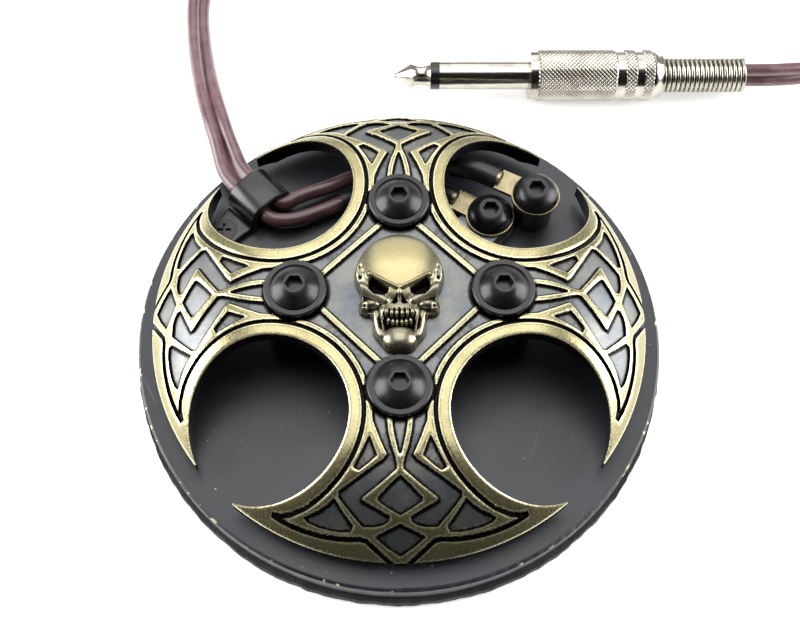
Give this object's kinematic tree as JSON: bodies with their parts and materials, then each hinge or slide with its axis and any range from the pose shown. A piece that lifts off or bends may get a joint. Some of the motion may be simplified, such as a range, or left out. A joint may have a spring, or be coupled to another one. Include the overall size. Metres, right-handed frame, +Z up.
{
  "type": "foot switch pedal",
  "caption": "Round floor foot switch: a sprung brass plate with round cut-outs tilts and presses onto a steel base, with a corded jack plug.",
  "frame": {"origin": "bottom centre of the rubber mat", "axes": "+Z up, -Y towards the user, +X to the user's right"},
  "size_m": [0.1832, 0.2508, 0.0284],
  "materials": {
    "mat_rubber": "matt, rough cut edge",
    "base_black": "satin black paint, scratched",
    "insulator_fibre": "matt fibre sheet",
    "contact_zinc": "dull zinc",
    "antique_brass": "antique brass, brushed highs and dark lows",
    "screw_black": "black oxide, satin",
    "nylon_black": "moulded black nylon",
    "spring_steel": "bright drawn wire",
    "lug_brass": "bright stamped brass",
    "cord_pvc": "slightly translucent brown PVC",
    "shrink_black": "satin shrink sleeve",
    "plug_nickel": "nickel plate, knurled shell",
    "plug_black": "black insulator"
  },
  "bodies": {
    "base": {"rubber_mat": "mat_rubber", "base_plate": "base_black", "contact_insulator": "insulator_fibre", "contact_plate": "contact_zinc", "terminal_screw_a": "screw_black", "ring_lug_a": "lug_brass", "terminal_screw_b": "screw_black", "ring_lug_b": "lug_brass", "terminal_pillar": "nylon_black", "wire_a": "cord_pvc", "wire_b": "cord_pvc", "shrink_sleeve_a": "shrink_black", "shrink_sleeve_b": "shrink_black", "cable_clip": "nylon_black", "clip_screw": "screw_black", "cord_lead": "cord_pvc", "cord_coil": "cord_pvc", "cord_tail": "cord_pvc", "plug_tip": "plug_nickel", "plug_insulator": "plug_black", "plug_sleeve": "plug_nickel", "plug_tip_lug": "lug_brass", "plug_barrel": "plug_nickel", "plug_strain_relief": "plug_nickel", "main_screw_right": "screw_black", "spring_right": "spring_steel", "main_screw_back": "screw_black", "spring_back": "spring_steel", "main_screw_left": "screw_black", "spring_left": "spring_steel", "main_screw_front": "screw_black", "spring_front": "spring_steel"},
    "pedal": {"pressure_cross": "antique_brass", "skull_emblem": "antique_brass"},
    "carriage": {"insulating_bushing_left": "nylon_black", "insulating_bushing_right": "nylon_black"},
    "rocker": {"insulating_bushing_front": "nylon_black", "insulating_bushing_back": "nylon_black"}
  },
  "joints": [
    {"name": "plate_press", "type": "slide", "parent": "base", "child": "carriage", "axis": [0, 0, -1], "range_m": [0, 0.001], "stiffness_N_per_m": 4000, "springref_m": -0.003, "deforming": ["spring_right", "spring_back", "spring_left", "spring_front"]},
    {"name": "plate_tilt_front_back", "type": "hinge", "parent": "carriage", "child": "rocker", "pos_m": [0, 0, 0.024], "axis": [1, 0, 0], "range_deg": [-0.6, 0.6], "stiffness_Nm_per_rad": 20},
    {"name": "plate_tilt_side", "type": "hinge", "parent": "rocker", "child": "pedal", "pos_m": [0, 0, 0.024], "axis": [0, 1, 0], "range_deg": [-0.6, 0.6], "stiffness_Nm_per_rad": 20}
  ]
}
